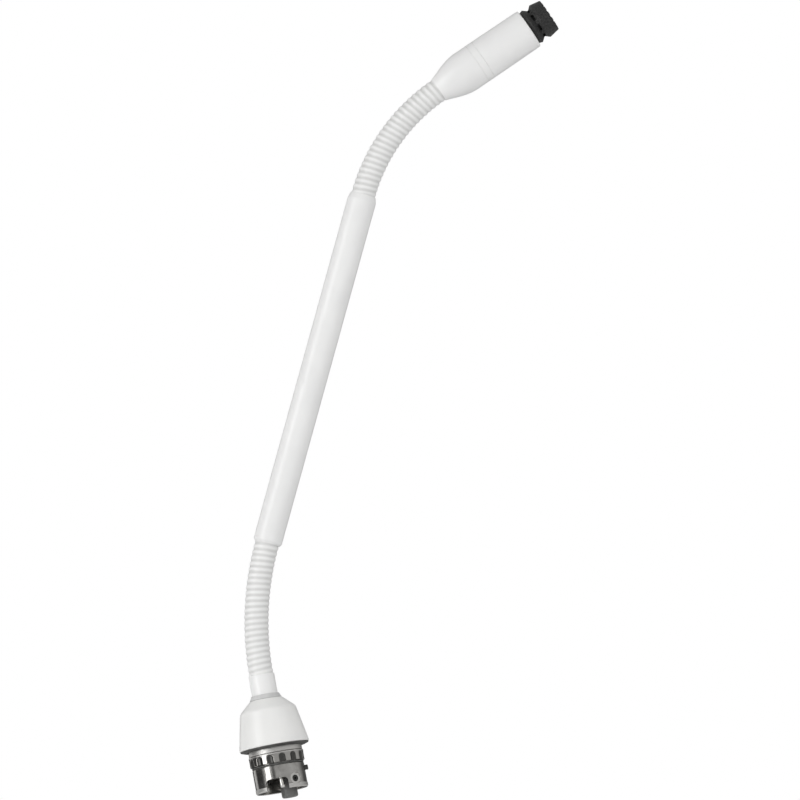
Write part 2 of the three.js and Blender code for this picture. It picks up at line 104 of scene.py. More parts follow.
class Finish:
    """A node material with one principled shader, and short helpers to wire procedural detail."""

    def __init__(self, name, colour, roughness, metallic=0.0, **sockets):
        self.material = bpy.data.materials.new(name)
        self.material.use_nodes = True
        self.tree = self.material.node_tree
        self.shader = self.tree.nodes["Principled BSDF"]
        self.set("Base Color", (*colour, 1))
        self.set("Roughness", roughness)
        self.set("Metallic", metallic)
        for socket, value in sockets.items():
            self.set(socket.replace("_", " "), value)
        self.place = self.node("ShaderNodeTexCoord").outputs["Object"]

    def set(self, socket, value):
        self.shader.inputs[socket].default_value = value

    def node(self, kind, **settings):
        made = self.tree.nodes.new(kind)
        for key, value in settings.items():
            setattr(made, key, value)
        return made

    def link(self, output, target):
        self.tree.links.new(output, target)

    def noise(self, size, detail=3.0, density=(1, 1, 1)):
        """Noise with features of about the given size in millimetres, divided by the axis's density."""
        mapping = self.node("ShaderNodeMapping")
        mapping.inputs["Scale"].default_value = density
        self.link(self.place, mapping.inputs["Vector"])
        noise = self.node("ShaderNodeTexNoise")
        noise.inputs["Scale"].default_value = 1 / (size * MM)
        noise.inputs["Detail"].default_value = detail
        self.link(mapping.outputs["Vector"], noise.inputs["Vector"])
        return noise.outputs["Fac"]

    def vary_colour(self, factor, dark, light, low=0.35, high=0.65):
        ramp = self.node("ShaderNodeValToRGB")
        ramp.color_ramp.elements[0].position = low
        ramp.color_ramp.elements[0].color = (*dark, 1)
        ramp.color_ramp.elements[1].position = high
        ramp.color_ramp.elements[1].color = (*light, 1)
        self.link(factor, ramp.inputs["Fac"])
        self.link(ramp.outputs["Color"], self.shader.inputs["Base Color"])
        return self

    def vary_roughness(self, factor, low, high):
        span = self.node("ShaderNodeMapRange")
        span.inputs["From Min"].default_value = 0.3
        span.inputs["From Max"].default_value = 0.7
        span.inputs["To Min"].default_value = low
        span.inputs["To Max"].default_value = high
        self.link(factor, span.inputs["Value"])
        self.link(span.outputs["Result"], self.shader.inputs["Roughness"])
        return self

    def emboss(self, factor, height, strength=1.0):
        """Bump of the given height in millimetres."""
        bump = self.node("ShaderNodeBump")
        bump.inputs["Distance"].default_value = height * MM
        bump.inputs["Strength"].default_value = strength
        self.link(factor, bump.inputs["Height"])
        self.link(bump.outputs["Normal"], self.shader.inputs["Normal"])
        return self


def white_paint():
    """Baked-on semi-gloss enamel with a fine orange peel."""
    f = Finish("white_paint", (0.86, 0.86, 0.85), 0.34, Coat_Weight=0.25, Coat_Roughness=0.2)
    f.vary_colour(f.noise(9, 2), (0.845, 0.845, 0.84), (0.875, 0.875, 0.868))
    f.vary_roughness(f.noise(1.6), 0.30, 0.40)
    return f.emboss(f.noise(0.45, 2), 0.006, 0.5).material


def neck_paint():
    """The same enamel over the winding, with painted shade: greyer the deeper a point lies down a
    groove.
    """
    f = Finish("neck_paint", (0.86, 0.86, 0.85), 0.34, Coat_Weight=0.25, Coat_Roughness=0.2)
    hollow = f.node("ShaderNodeAttribute", attribute_name="hollow").outputs["Fac"]
    # Painted shade: the colour falls from 0.875 on the crowns to 0.69 at the bottom of each groove.
    f.vary_colour(hollow, (0.875, 0.875, 0.868), (0.69, 0.69, 0.68), 0.0, 1.0)
    f.vary_roughness(f.noise(1.6), 0.30, 0.40)
    return f.emboss(f.noise(0.45, 2), 0.006, 0.5).material


def white_plastic():
    """Semi-gloss moulded plastic, a shade warmer than the paint."""
    f = Finish("white_plastic", (0.84, 0.84, 0.825), 0.36, Coat_Weight=0.12, Coat_Roughness=0.2)
    f.vary_colour(f.noise(12, 2), (0.825, 0.825, 0.81), (0.855, 0.853, 0.84))
    f.vary_roughness(f.noise(3), 0.32, 0.42)
    return f.emboss(f.noise(0.8, 2), 0.006, 0.4).material


def grey_rubber():
    f = Finish("grey_rubber", (0.6, 0.6, 0.595), 0.55)
    f.vary_colour(f.noise(2), (0.56, 0.56, 0.56), (0.64, 0.64, 0.635))
    return f.emboss(f.noise(0.2), 0.01, 0.6).material


def black_rubber():
    f = Finish("black_rubber", (0.07, 0.07, 0.068), 0.62)
    f.vary_colour(f.noise(1.5), (0.055, 0.055, 0.053), (0.09, 0.09, 0.087))
    f.vary_roughness(f.noise(0.6), 0.5, 0.72)
    return f.emboss(f.noise(0.15), 0.012, 0.7).material


def black_plastic():
    """Matte plastic with a spark-eroded grain."""
    f = Finish("black_plastic", (0.02, 0.02, 0.0195), 0.5)
    f.vary_colour(f.noise(0.3, 2), (0.007, 0.007, 0.0069), (0.030, 0.030, 0.0295), 0.4, 0.6)
    f.vary_roughness(f.noise(0.5), 0.42, 0.62)
    return f.emboss(f.noise(0.28, 4), 0.06, 0.8).material


def grey_plastic():
    """Glass-filled plastic of the contact insert."""
    f = Finish("grey_plastic", (0.13, 0.13, 0.125), 0.45)
    f.vary_colour(f.noise(0.5, 5), (0.115, 0.115, 0.11), (0.145, 0.143, 0.138))
    return f.emboss(f.noise(0.12), 0.01, 0.6).material


def nickel():
    """Bright nickel plate over a turned part: fine rings round the axis, slightly cloudy."""
    f = Finish("nickel", (0.45, 0.44, 0.42), 0.17, metallic=1.0)
    f.vary_colour(f.noise(2.5, 4), (0.38, 0.37, 0.355), (0.52, 0.51, 0.49))
    f.vary_roughness(f.noise(1.0, 3, density=(0.3, 0.3, 5)), 0.10, 0.22)
    return f.emboss(f.noise(0.12, 2, density=(0.05, 0.05, 1)), 0.004, 0.5).material


def satin_nickel():
    """The same plate over a blasted surface: rougher, so without mirror bands, with painted light in a
    colour lighter than the polished plate's.
    """
    # Painted light: base colour 0.72 against 0.45 for the polished plate.
    f = Finish("satin_nickel", (0.72, 0.71, 0.685), 0.48, metallic=1.0)
    f.vary_colour(f.noise(0.4, 3), (0.69, 0.68, 0.66), (0.75, 0.74, 0.715))
    f.vary_roughness(f.noise(0.3), 0.4, 0.52)
    return f.emboss(f.noise(0.12, 2), 0.01, 0.6).material


def scooped_nickel():
    """Nickel plate that is rougher in the milled scoops, with painted shade that darkens it to near
    black down them.
    """
    f = Finish("scooped_nickel", (0.45, 0.44, 0.42), 0.17, metallic=1.0)
    hollow = f.node("ShaderNodeAttribute", attribute_name="hollow").outputs["Fac"]
    # Painted shade: the colour falls from 0.45 to 0.10 down each scoop; only the rougher finish there
    # is real.
    f.vary_colour(hollow, (0.45, 0.44, 0.42), (0.10, 0.099, 0.095), 0.05, 0.16)
    f.vary_roughness(hollow, 0.15, 0.42)
    return f.emboss(f.noise(0.12, 2, density=(0.05, 0.05, 1)), 0.004, 0.5).material


def dark_steel():
    f = Finish("dark_steel", (0.09, 0.09, 0.087), 0.35, metallic=1.0)
    f.vary_colour(f.noise(0.6), (0.065, 0.065, 0.063), (0.115, 0.115, 0.112))
    f.vary_roughness(f.noise(0.4), 0.28, 0.45)
    return f.emboss(f.noise(0.1), 0.004, 0.5).material


def silver():
    f = Finish("silver", (0.8, 0.79, 0.76), 0.22, metallic=1.0)
    f.vary_colour(f.noise(0.8), (0.72, 0.71, 0.68), (0.86, 0.85, 0.82))
    return f.vary_roughness(f.noise(0.5), 0.16, 0.3).material


def brass():
    f = Finish("brass", (0.6, 0.46, 0.22), 0.35, metallic=1.0)
    f.vary_colour(f.noise(1.5), (0.52, 0.39, 0.18), (0.66, 0.52, 0.26))
    return f.vary_roughness(f.noise(0.5), 0.28, 0.45).material


def cable_sheath():
    f = Finish("cable_sheath", (0.03, 0.03, 0.03), 0.5)
    f.vary_colour(f.noise(1), (0.024, 0.024, 0.024), (0.04, 0.04, 0.04))
    return f.emboss(f.noise(0.2), 0.01, 0.5).material


def board():
    f = Finish("board", (0.03, 0.13, 0.06), 0.4)
    f.vary_colour(f.noise(1.2, 1), (0.025, 0.11, 0.05), (0.05, 0.19, 0.09), 0.48, 0.52)
    return f.emboss(f.noise(0.5), 0.01, 0.5).material


def foam():
    f = Finish("foam", (0.03, 0.03, 0.03), 0.95, Sheen_Weight=0.3)
    f.vary_colour(f.noise(0.3, 4), (0.012, 0.012, 0.012), (0.06, 0.06, 0.06))
    return f.emboss(f.noise(0.25, 4), 0.1, 1.0).material


MAKERS = (
    white_paint, neck_paint, white_plastic, grey_rubber, black_rubber, black_plastic, grey_plastic,
    nickel, satin_nickel, scooped_nickel, dark_steel, silver, brass, cable_sheath, board, foam,
)
MATERIALS = {maker.__name__: maker() for maker in MAKERS}

# The CAD pieces that stay visible take their slot's material
for part in frame["record"]["subparts"]:
    cad_mesh = frame["nodes"][part["node"]].data
    cad_mesh.materials.clear()
    cad_mesh.materials.append(MATERIALS[part["material_slot"]])

# ---- Mesh helpers ----

ARC_STEPS = 6
FILLET_SHARE = 0.49  # most of a side that one fillet may take
ON_AXIS = 1e-6


def rounded(corners):
    """Points of an outline of (radius, height, fillet) corners, with each fillet drawn as an arc."""
    points = []
    for i, (radius, height, fillet) in enumerate(corners):
        corner = Vector((radius, height))
        if fillet == 0:
            points.append(corner)
            continue
        back = Vector(corners[i - 1][:2]) - corner
        on = Vector(corners[(i + 1) % len(corners)][:2]) - corner
        half = back.angle(on) / 2
        reach = min(fillet / math.tan(half), FILLET_SHARE * back.length, FILLET_SHARE * on.length)
        fillet = reach * math.tan(half)
        middle = (back.normalized() + on.normalized()).normalized()
        centre = corner + middle * (fillet / math.sin(half))
        first = corner + back.normalized() * reach - centre
        last = corner + on.normalized() * reach - centre
        for step in range(ARC_STEPS + 1):
            points.append(centre + first.slerp(last, step / ARC_STEPS) * fillet)
    return [(p.x, p.y) for p in points]


def revolve(points, segments):
    """Vertices and faces of a closed solid of revolution about Z; the outline runs up the outside."""
    verts, rings, faces = [], [], []
    for radius, height in points:
        if radius < ON_AXIS:
            rings.append([len(verts)])
            verts.append((0, 0, height * MM))
            continue
        rings.append(list(range(len(verts), len(verts) + segments)))
        for j in range(segments):
            a = 2 * math.pi * j / segments
            verts.append((radius * math.cos(a) * MM, radius * math.sin(a) * MM, height * MM))
    for low, high in zip(rings, rings[1:] + rings[:1]):
        for j in range(segments):
            k = (j + 1) % segments
            if len(low) == 1 and len(high) == 1:
                break
            if len(low) == 1:
                faces.append((low[0], high[k], high[j]))
            elif len(high) == 1:
                faces.append((low[j], low[k], high[0]))
            else:
                faces.append((low[j], low[k], high[k], high[j]))
    return verts, faces


def mesh_object(name, verts, faces, place=FOOT):
    mesh = bpy.data.meshes.new(name)
    mesh.from_pydata(verts, [], faces)
    mesh.validate()
    mesh.transform(matrix_at(place))
    piece = bpy.data.objects.new(name, mesh)
    bpy.context.scene.collection.objects.link(piece)
    return piece


SHARP_ANGLE = math.radians(32)
BEVEL_ANGLE = math.radians(38)


def finish_piece(piece, slot, body, nodes, material=None):
    """Shades a piece, gives it its material, puts it on its body and lets it stand for CAD nodes.

    The material is the slot's own unless another is named.
    """
    mesh = piece.data
    mesh.shade_smooth()
    mesh.set_sharp_from_angle(angle=SHARP_ANGLE)
    mesh.materials.clear()
    mesh.materials.append(MATERIALS[material or slot])
    weighted = piece.modifiers.new("even_normals", "WEIGHTED_NORMAL")
    weighted.keep_sharp = True
    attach(piece, body)
    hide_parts(*nodes)
    return piece


def mark_hollows(piece, depths):
    """Tells the material how far each point lies down a groove or scoop, from 0 to 1; the neck paint
    and the scooped nickel darken with it as painted shade.
    """
    piece.data.attributes.new("hollow", "FLOAT", "POINT").data.foreach_set("value", depths)


def second_finish(piece, slot, chosen):
    """Gives another material to the faces whose centre, in millimetres, the test picks."""
    piece.data.materials.append(MATERIALS[slot])
    number = len(piece.data.materials) - 1
    for face in piece.data.polygons:
        if chosen(*(face.center / MM)):
            face.material_index = number


def turned(node, corners, slot, body, place=FOOT, segments=96):
    """A turned piece that stands for one CAD node."""
    verts, faces = revolve(rounded(corners), segments)
    piece = mesh_object("fine_" + node, verts, faces, place)
    return finish_piece(piece, slot, body, [node])


def apply_modifiers(piece):
    bpy.context.view_layer.update()
    graph = bpy.context.evaluated_depsgraph_get()
    result = bpy.data.meshes.new_from_object(piece.evaluated_get(graph))
    piece.modifiers.clear()
    piece.data = result


def carve(piece, cutters, operation="DIFFERENCE"):
    """Cuts the cutters from the piece, or joins them to it, and removes them."""
    for cutter in cutters:
        step = piece.modifiers.new("carve", "BOOLEAN")
        step.operation = operation
        step.solver = "EXACT"
        step.object = cutter
    apply_modifiers(piece)
    for cutter in cutters:
        bpy.data.objects.remove(cutter)


def soften(piece, width, segments=2):
    """Rounds the sharp edges that carving left."""
    bevel = piece.modifiers.new("soften", "BEVEL")
    bevel.width = width * MM
    bevel.segments = segments
    bevel.limit_method = "ANGLE"
    bevel.angle_limit = BEVEL_ANGLE
    bevel.use_clamp_overlap = True
    apply_modifiers(piece)


def radial_matrix(angle, height, place=FOOT):
    """Turns a shape that points along +Z to point out from the axis, at an angle from -Y to +X."""
    turn = Matrix.Rotation(math.radians(angle), 4, "Z") @ Matrix.Rotation(math.pi / 2, 4, "X")
    return matrix_at(place) @ Matrix.Translation((0, 0, height * MM)) @ turn


def rod(radius, bottom, top, segments):
    """Vertices and faces of a plain round rod."""
    return revolve([(0, bottom), (radius, bottom), (radius, top), (0, top)], segments)


def rod_cutter(radius, bottom, top, matrix, segments=48):
    verts, faces = rod(radius, bottom, top, segments)
    cutter = mesh_object("cutter", verts, faces)
    cutter.matrix_world = matrix
    return cutter


def slab_cutter(width, height, corner, bottom, top, matrix):
    """A rounded rectangle, width along X and height along Y, raised from bottom to top."""
    outline = []
    for quarter, (sx, sy) in enumerate(((1, 1), (-1, 1), (-1, -1), (1, -1))):
        for step in range(ARC_STEPS + 1):
            a = (quarter + step / ARC_STEPS) * math.pi / 2
            x = sx * (width / 2 - corner) + corner * math.cos(a)
            y = sy * (height / 2 - corner) + corner * math.sin(a)
            outline.append((x * MM, y * MM))
    n = len(outline)
    verts = [(x, y, bottom * MM) for x, y in outline] + [(x, y, top * MM) for x, y in outline]
    faces = [tuple(reversed(range(n))), tuple(range(n, 2 * n))]
    faces += [(i, (i + 1) % n, n + (i + 1) % n, n + i) for i in range(n)]
    cutter = mesh_object("cutter", verts, faces)
    cutter.matrix_world = matrix
    return cutter


# ---- Plug ----

OUTSIDE = 12  # where the cutters end, clear of the plug
SHELL_RADIUS = 7.75
SHELL_BORE = 6.3
SHELL_TOP = 5.0
SHELL_END = -13.2
SPIGOT_RADIUS = 6.95
FLANGE_RADIUS = 7.9
FLANGE_TOP = -0.65
FLANGE_BOTTOM = -2.1
SLEEVE_TOP = -6.0
SLEEVE_DROP = 0.1  # how much slimmer the sleeve is than the lip
LIP_TOP = -11.9
NOTCH_ANGLE = -8
NOTCH_TOP = -9.8
NOTCH_WIDTH = 6.6
NOTCH_HEIGHT = 8
LOCATOR_ANGLE = 90
LOCATOR_HEIGHT = -7.6
LOCATOR_REACH = 8.62
SCREW_ANGLE = 37
SCREW_HEIGHT = -10.6
SCREW_REACH = 7.25
SPOT_RADIUS = 1.75  # milled flat round the set screw
SPOT_FLOOR = 7.35
GASKET_BORE = 7.05
GASKET_OUTER = 10.1
PIN_CIRCLE = 4.3
PIN_ANGLES = (85, 180, 275)
POST_OFFSET = 1.95


def plug_shell():
    """The shell with its flange, open latch notch, screw and pin holes, spot face and satin lip, which
    carries painted light.
    """
    sleeve_radius = SHELL_RADIUS - SLEEVE_DROP
    verts, faces = revolve(rounded([
        (SHELL_BORE, SHELL_END, 0.12), (SHELL_RADIUS - 0.3, SHELL_END, 0.12),
        (SHELL_RADIUS, SHELL_END + 0.35, 0.15), (SHELL_RADIUS, LIP_TOP, 0.04),
        (sleeve_radius, LIP_TOP + SLEEVE_DROP, 0.04), (sleeve_radius, SLEEVE_TOP, 0.15),
        (SPIGOT_RADIUS, SLEEVE_TOP, 0), (SPIGOT_RADIUS, FLANGE_BOTTOM, 0),
        (FLANGE_RADIUS, FLANGE_BOTTOM, 0.12), (FLANGE_RADIUS, FLANGE_TOP, 0.1),
        (SPIGOT_RADIUS, FLANGE_TOP, 0), (SPIGOT_RADIUS, SHELL_TOP, 0.2), (SHELL_BORE, SHELL_TOP, 0.1),
    ]), 128)
    shell = mesh_object("fine_plug_shell", verts, faces)
    notch = radial_matrix(NOTCH_ANGLE, NOTCH_TOP - NOTCH_HEIGHT / 2)
    screw = radial_matrix(SCREW_ANGLE, SCREW_HEIGHT)
    carve(shell, [
        slab_cutter(NOTCH_WIDTH, NOTCH_HEIGHT, 1.1, 1, OUTSIDE, notch),
        rod_cutter(1.0, 1, OUTSIDE, screw),
        rod_cutter(SPOT_RADIUS, SPOT_FLOOR, OUTSIDE, screw),
        rod_cutter(0.92, 1, OUTSIDE, radial_matrix(LOCATOR_ANGLE, LOCATOR_HEIGHT)),
    ])
    soften(shell, 0.1)
    finish_piece(shell, "nickel", "plug", ["plug_shell"])
    a = math.radians(SCREW_ANGLE)
    out = Vector((math.sin(a), -math.cos(a), 0))

    # Faces that take the satin plate, whose lighter colour is painted light.
    def satin(x, y, z):
        on_lip = math.hypot(x, y) > SHELL_RADIUS - 0.25 and z < LIP_TOP - 0.02
        on_flange = math.hypot(x, y) > SPIGOT_RADIUS + 0.3 and z > FLANGE_BOTTOM - 0.05
        reach = Vector((x, y, 0)).dot(out)
        aside = (Vector((x, y, z - SCREW_HEIGHT)) - out * reach).length
        on_spot = aside < SPOT_RADIUS + 0.1 and SPOT_FLOOR - 0.02 < reach < SPOT_FLOOR + 0.1
        return on_lip or on_flange or on_spot

    second_finish(shell, "satin_nickel", satin)


def lock_ring():
    """The fluted ring: ball-milled scoops in its outer wall end in a round below the top edge."""
    scoops, depth, half_width, steps_per_scoop = 14, 0.45, 1.05, 30
    bore, outer, bottom, top, scoop_top = 7.12, 8.1, -5.2, -2.2, -2.6
    walls = [(outer, bottom + 0.28 + 0.1 * i, 0) for i in range(1, 24)]
    profile = rounded([
        (bore, bottom, 0.1), (outer, bottom, 0.22), *walls, (outer, top, 0.18), (bore, top, 0.1),
    ])
    verts, faces = revolve(profile, scoops * steps_per_scoop)
    hollows = []
    for i, (x, y, z) in enumerate(verts):
        radius = math.hypot(x, y) / MM
        turn = (math.atan2(y, x) + math.pi / 2) * scoops / (2 * math.pi) + 0.5
        across = (turn - round(turn)) * 2 * math.pi * outer / scoops
        off = math.hypot(across, max(0, z / MM - (scoop_top - half_width))) / half_width
        hollows.append(max(0, 1 - off * off) if radius > outer - 0.4 else 0)
        scale = 1 - depth * hollows[i] / radius
        verts[i] = (x * scale, y * scale, z)
    ring = mesh_object("fine_lock_ring", verts, faces)
    mark_hollows(ring, hollows)
    # The scoops carry the painted shade of the scooped nickel.
    finish_piece(ring, "nickel", "lock_ring", ["lock_ring"], "scooped_nickel")
    # The ring's top band takes the satin plate, with its painted light.
    second_finish(ring, "satin_nickel", lambda x, y, z: z > scoop_top + 0.05)


def plug_small_parts():
    turned("shoulder_gasket", [
        (GASKET_BORE, -0.6, 0), (8.25, -0.6, 0), (8.25, -0.7, 0.03), (8.9, -0.7, 0.2),
        (GASKET_OUTER, -0.3, 0.12), (GASKET_OUTER, -0.05, 0.1), (GASKET_BORE, -0.05, 0.05),
    ], "black_rubber", "plug")
    turned("plug_o_ring", [
        (7.12, -5.87, 0.24), (7.66, -5.87, 0.24), (7.66, -5.33, 0.24), (7.12, -5.33, 0.24),
    ], "black_rubber", "plug")
    for node, radius, angle, height, reach in (
        ("locating_pin", 0.75, LOCATOR_ANGLE, LOCATOR_HEIGHT, LOCATOR_REACH),
        ("set_screw", 0.9, SCREW_ANGLE, SCREW_HEIGHT, SCREW_REACH),
    ):
        verts, faces = revolve(rounded([
            (0, 6.5, 0), (radius, 6.5, 0.05), (radius, reach, 0.25), (0, reach, 0),
        ]), 48)
        piece = mesh_object("fine_" + node, verts, faces)
        piece.matrix_world = radial_matrix(angle, height)
        if node == "set_screw":
            hexagon = rod_cutter(0.5, 6.8, 9, radial_matrix(angle, height), 6)
            carve(piece, [hexagon])
        finish_piece(piece, "dark_steel", "plug", [node])


def on_pin_circle(angle):
    a = math.radians(angle)
    return Vector((PIN_CIRCLE * math.cos(a) * MM, PIN_CIRCLE * math.sin(a) * MM, 0))


def contact_insert():
    """The insert with its off-centre key post, a recess round each pin, and the three pins."""
    verts, faces = revolve(rounded([
        (0, -9, 0), (6.2, -9, 0.25), (6.2, -1.5, 0.2), (0, -1.5, 0),
    ]), 96)
    insert = mesh_object("fine_contact_insert", verts, faces)
    verts, faces = revolve(rounded([
        (0, -15.5, 0), (2.4, -15.5, 0.55), (2.4, -2.5, 0), (0, -2.5, 0),
    ]), 64)
    post = mesh_object("post", verts, faces)
    post.location.x = POST_OFFSET * MM
    carve(insert, [post], "UNION")
    holes = []
    for angle in PIN_ANGLES:
        centre = Matrix.Translation(on_pin_circle(angle))
        holes.append(rod_cutter(1.0, -16, 3, centre))
        holes.append(rod_cutter(1.35, -12, -8.4, centre))
    carve(insert, holes)
    finish_piece(insert, "grey_plastic", "plug", ["contact_insert"])
    for i, angle in enumerate(PIN_ANGLES):
        verts, faces = revolve(rounded([
            (0, -12.6, 0), (0.5, -12.6, 0.3), (0.8, -11.9, 0.5), (0.8, -0.5, 0.05),
            (0.5, -0.5, 0), (0.5, 1.2, 0.1), (0, 1.2, 0),
        ]), 40)
        pin = mesh_object(f"fine_contact_pin_{i + 1}", verts, faces)
        pin.location = on_pin_circle(angle)
        finish_piece(pin, "silver", "plug", [f"contact_pin_{i + 1}"])


# ---- Foot of the neck ----

COLLAR_BORE = 3.1
GROMMET_BORE = 3.9
SEAT = 12.05  # where the grommet and the collar stand in the bell


def foot():
    turned("bell_cover", [
        (7.05, 0, 0.1), (10.3, 0, 0.35), (10.33, 0.45, 0.3), (8.3, 10.85, 1.9), (4.85, 14.05, 0.25),
        (4.5, 14.05, 0.1), (4.5, 12.0, 0), (3.1, 12.0, 0), (3.1, 10.8, 0), (6.4, 10.8, 0),
        (6.4, 5.2, 0), (7.05, 5.2, 0),
    ], "white_plastic", "plug", segments=128)
    turned("neck_grommet", [
        (GROMMET_BORE, SEAT, 0), (4.4, SEAT, 0), (4.4, 14.1, 0), (4.78, 14.1, 0.1),
        (4.12, 15.45, 0.2), (GROMMET_BORE, 15.45, 0.05),
    ], "grey_rubber", "plug")
    turned("lower_collar", [
        (COLLAR_BORE, SEAT, 0), (3.8, SEAT, 0), (3.8, COLLAR_TOP, 0.4), (COLLAR_BORE, COLLAR_TOP, 0.05),
    ], "white_paint", "plug")


# ---- Neck ----

CROWN_RADIUS = 3.6
RIB_DEPTH = 0.22
GROOVE_SHARPNESS = 2.4  # higher makes the grooves narrower and the crowns broader
ROWS_PER_TURN = 16
NECK_SEGMENTS = 64
SKIN_BORE = 2.35
STUB_BORE = 3.03  # wider bore where the skin passes over a ferrule's stub
STUB_LENGTH = 0.5
BORE_STEP = 0.05  # length over which the bore narrows again
INNER_ROWS = 7
CABLE_RADIUS = 1.5
CABLE_CORE = 0.2
CABLE_SEGMENTS = 24
CABLE_FOOT = 2.6
CABLE_END = 20  # how far the cable reaches into the head


def sleeve(name, outer, inner_rows, material):
    """A closed tube: an outer wall of ring rows with its own normals, and an inner wall of rows."""
    points, normals = outer
    count, sides = points.shape[0], points.shape[1]
    inner_count = inner_rows.shape[0]
    verts = np.concatenate([points.reshape(-1, 3), inner_rows.reshape(-1, 3)])
    faces = []
    base = count * sides
    for i in range(count - 1):
        for j in range(sides):
            k = (j + 1) % sides
            faces.append((i * sides + j, i * sides + k, (i + 1) * sides + k, (i + 1) * sides + j))
    outer_faces = len(faces)
    for i in range(inner_count - 1):
        low, high = base + i * sides, base + (i + 1) * sides
        for j in range(sides):
            k = (j + 1) % sides
            faces.append((low + k, low + j, high + j, high + k))
    last, inner_last = (count - 1) * sides, base + (inner_count - 1) * sides
    for j in range(sides):
        k = (j + 1) % sides
        faces.append((base + j, base + k, k, j))
        faces.append((last + j, last + k, inner_last + k, inner_last + j))
    piece = mesh_object(name, (verts * MM).tolist(), faces)
    mesh = piece.data
    mesh.shade_smooth()
    flat = normals.reshape(-1, 3)
    corner_normals = np.zeros((len(mesh.loops), 3))
    corners = np.array([loop.vertex_index for loop in mesh.loops])
    outer_corners = outer_faces * 4
    corner_normals[:outer_corners] = flat[corners[:outer_corners]]
    for face in mesh.polygons[outer_faces:]:
        corner_normals[face.loop_start:face.loop_start + face.loop_total] = face.normal
    mesh.normals_split_custom_set(corner_normals.tolist())
    mesh.materials.append(MATERIALS[material])
    return piece


def rings_along(start, bend, distances, radii):
    """Ring points round the bent centreline, and their outward normals, for rows of radii."""
    sides = radii.shape[1]
    around = np.linspace(0, 2 * math.pi, sides, endpoint=False)
    centres, across = [], []
    for s in distances:
        x, z, tilt = advance(start, s, bend * s / FLEX_LENGTH)
        centres.append((x, 0, z))
        across.append((math.cos(tilt), 0, -math.sin(tilt)))
    centres, across = np.array(centres)[:, None], np.array(across)[:, None]
    spoke = np.cos(around)[None, :, None] * across + np.sin(around)[None, :, None] * np.array((0, 1, 0))
    points = centres + radii[:, :, None] * spoke
    along = np.gradient(points, axis=0)
    round_step = np.roll(points, -1, axis=1) - np.roll(points, 1, axis=1)
    normals = np.cross(round_step, along)
    normals /= np.linalg.norm(normals, axis=2, keepdims=True)
    return points, normals


def flexible_length(name, start, bend):
    """The wound neck as one helical skin, cut in the middle of each link, and the cable inside it.

    Each piece spans one joint, following the bent centreline from the middle of one link to the next.
    """
    rows = np.linspace(0, FLEX_LENGTH, TURNS * ROWS_PER_TURN + 1)
    around = np.linspace(0, 1, NECK_SEGMENTS, endpoint=False)
    phase = rows[:, None] / TURN_PITCH - around[None, :]
    groove = np.abs(np.cos(math.pi * phase)) ** GROOVE_SHARPNESS
    points, normals = rings_along(start, bend, rows, CROWN_RADIUS - RIB_DEPTH * groove)
    cuts = [0] + [int((2 * i + 1.5) * ROWS_PER_TURN) for i in range(LINKS)] + [len(rows) - 1]
    for i, (low, high) in enumerate(zip(cuts, cuts[1:])):
        begin, end = rows[low], rows[high]
        inner_at = np.linspace(begin, end, INNER_ROWS)
        if i == 0:
            inner_at = np.insert(inner_at, 1, (STUB_LENGTH, STUB_LENGTH + BORE_STEP))
        if i == LINKS:
            inner_at = np.insert(inner_at, -1, (end - STUB_LENGTH - BORE_STEP, end - STUB_LENGTH))
        near_end = np.minimum(inner_at, FLEX_LENGTH - inner_at) <= STUB_LENGTH + 1e-6
        bores = np.where(near_end, STUB_BORE, SKIN_BORE)
        inner, _ = rings_along(start, bend, inner_at, np.repeat(bores[:, None], NECK_SEGMENTS, 1))
        outer = points[low:high + 1], normals[low:high + 1]
        skin = sleeve(f"{name}_neck_skin_{i + 1}", outer, inner, "neck_paint")
        # The groove depth, which the neck paint turns into painted shade.
        shade = np.zeros(len(skin.data.vertices))
        shade[:(high + 1 - low) * NECK_SEGMENTS] = groove[low:high + 1].ravel()
        mark_hollows(skin, shade)
        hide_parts(f"{name}_turns_{min(i + 1, LINKS)}")
        cable_at = np.linspace(begin, end, INNER_ROWS)
        cable_shape = (INNER_ROWS, CABLE_SEGMENTS)
        sheath = rings_along(start, bend, cable_at, np.full(cable_shape, CABLE_RADIUS))
        core, _ = rings_along(start, bend, cable_at, np.full(cable_shape, CABLE_CORE))
        cable = sleeve(f"cable_in_{name}_neck_{i + 1}", sheath, core, "cable_sheath")
        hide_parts("signal_cable")
        for piece in (skin, cable):
            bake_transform(piece)


def straight_cables():
    for name, body, place, bottom, top in (
        ("cable_in_foot", "plug", FOOT, CABLE_FOOT, COLLAR_TOP),
        ("cable_in_tube", "stem", TUBE_START, 0, TUBE_LENGTH),
        ("cable_in_head", "head", HEAD_START, 0, CABLE_END),
    ):
        verts, faces = rod(CABLE_RADIUS, bottom, top, CABLE_SEGMENTS)
        piece = mesh_object(name, verts, faces, place)
        finish_piece(piece, "cable_sheath", body, ["signal_cable"])


def rigid_tube():
    bore, outer = 3.2, 4.25
    turned("stem_tube", [
        (bore, 0, 0.05), (3.72, 0, 0.15), (outer, 0.75, 0.7), (outer, TUBE_LENGTH - 1.7, 0.9),
        (3.75, TUBE_LENGTH, 0.15), (bore, TUBE_LENGTH, 0.05),
    ], "white_paint", "stem", TUBE_START, 128)


# ---- Head ----

HEAD_RADIUS = 6.25
HEAD_BORE = 5.1
JOINT_BOTTOM = 13.65  # middles of the fine grooves on either side of the joint ring
JOINT_TOP = 15.75
JOINT_GAP = 0.01
JOINT_FILLET = 0.12
TAIL_START_RADIUS = 3.7
TAIL_CURVE = 9.9  # length over which the tail swells
TAIL_FULLNESS = 1.12  # higher makes the start of the swell hollower
TAIL_STEPS = 28


def tail_radius(w):
    swell = math.sin(math.pi / 2 * w / TAIL_CURVE) ** TAIL_FULLNESS
    return TAIL_START_RADIUS + (HEAD_RADIUS - TAIL_START_RADIUS) * swell


